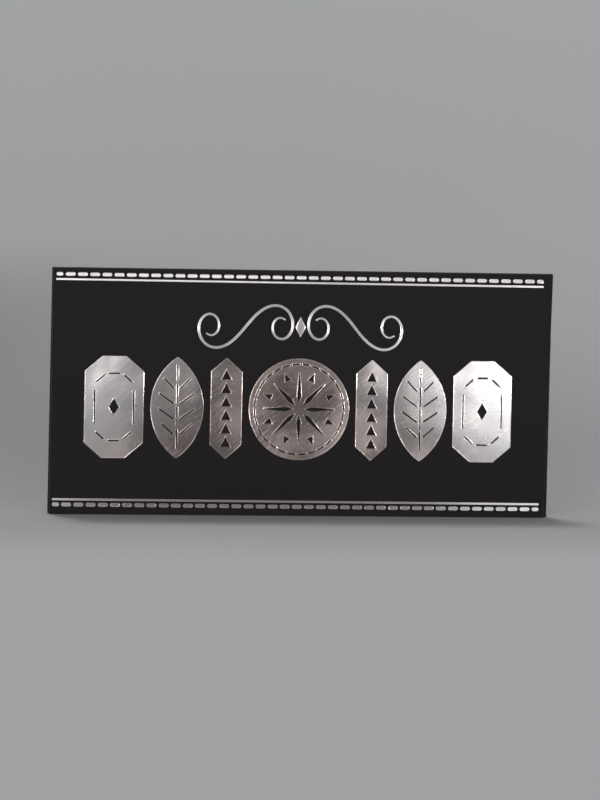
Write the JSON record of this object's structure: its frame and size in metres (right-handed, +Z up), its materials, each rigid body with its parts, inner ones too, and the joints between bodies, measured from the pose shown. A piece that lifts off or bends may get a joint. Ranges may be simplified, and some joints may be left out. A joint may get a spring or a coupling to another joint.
{
  "type": "money envelope",
  "caption": "Long card envelope for giving banknotes, with a folded pocket, a hinged front cover and foil-stamped ornament.",
  "frame": {"origin": "on the ground, under the middle of the bounding box", "axes": "+X along the envelope from its left end to its right as seen from the front, +Y from the printed cover to the back panel, +Z up"},
  "size_m": [0.165, 0.0048, 0.08],
  "materials": {
    "black_card": "matt dyed card",
    "silver_foil": "bright hot-stamped foil",
    "clear_glue": "dried clear glue"
  },
  "bodies": {
    "back": {"back_panel": "black_card", "pocket_foot_fold": "black_card", "pocket_panel": "black_card", "pocket_flap_left": "black_card", "pocket_flap_right": "black_card", "glue_strip_left": "clear_glue", "glue_strip_right": "clear_glue"},
    "spine": {"top_spine": "black_card"},
    "cover": {"cover_panel": "black_card", "foil_stitch_row_top": "silver_foil", "foil_rule_top": "silver_foil", "foil_rule_bottom": "silver_foil", "foil_stitch_row_bottom": "silver_foil", "foil_coin": "silver_foil", "foil_bar_left": "silver_foil", "foil_bar_right": "silver_foil", "foil_leaf_left": "silver_foil", "foil_leaf_right": "silver_foil", "foil_gem_left": "silver_foil", "foil_gem_right": "silver_foil", "foil_scroll_left": "silver_foil", "foil_scroll_right": "silver_foil", "foil_scroll_diamond": "silver_foil"}
  },
  "joints": [
    {"name": "spine_hinge", "type": "hinge", "parent": "back", "child": "spine", "pos_m": [0, 0.00217, 0.0798], "axis": [-1, 0, 0], "range_deg": [-0.79, 89.21]},
    {"name": "cover_hinge", "type": "hinge", "parent": "spine", "child": "cover", "pos_m": [0, 0.00007, 0.07983], "axis": [-1, 0, 0], "range_deg": [-0.79, 89.21]}
  ],
  "couplings": [
    {"joint": "cover_hinge", "follows": "spine_hinge", "ratio": 1}
  ]
}
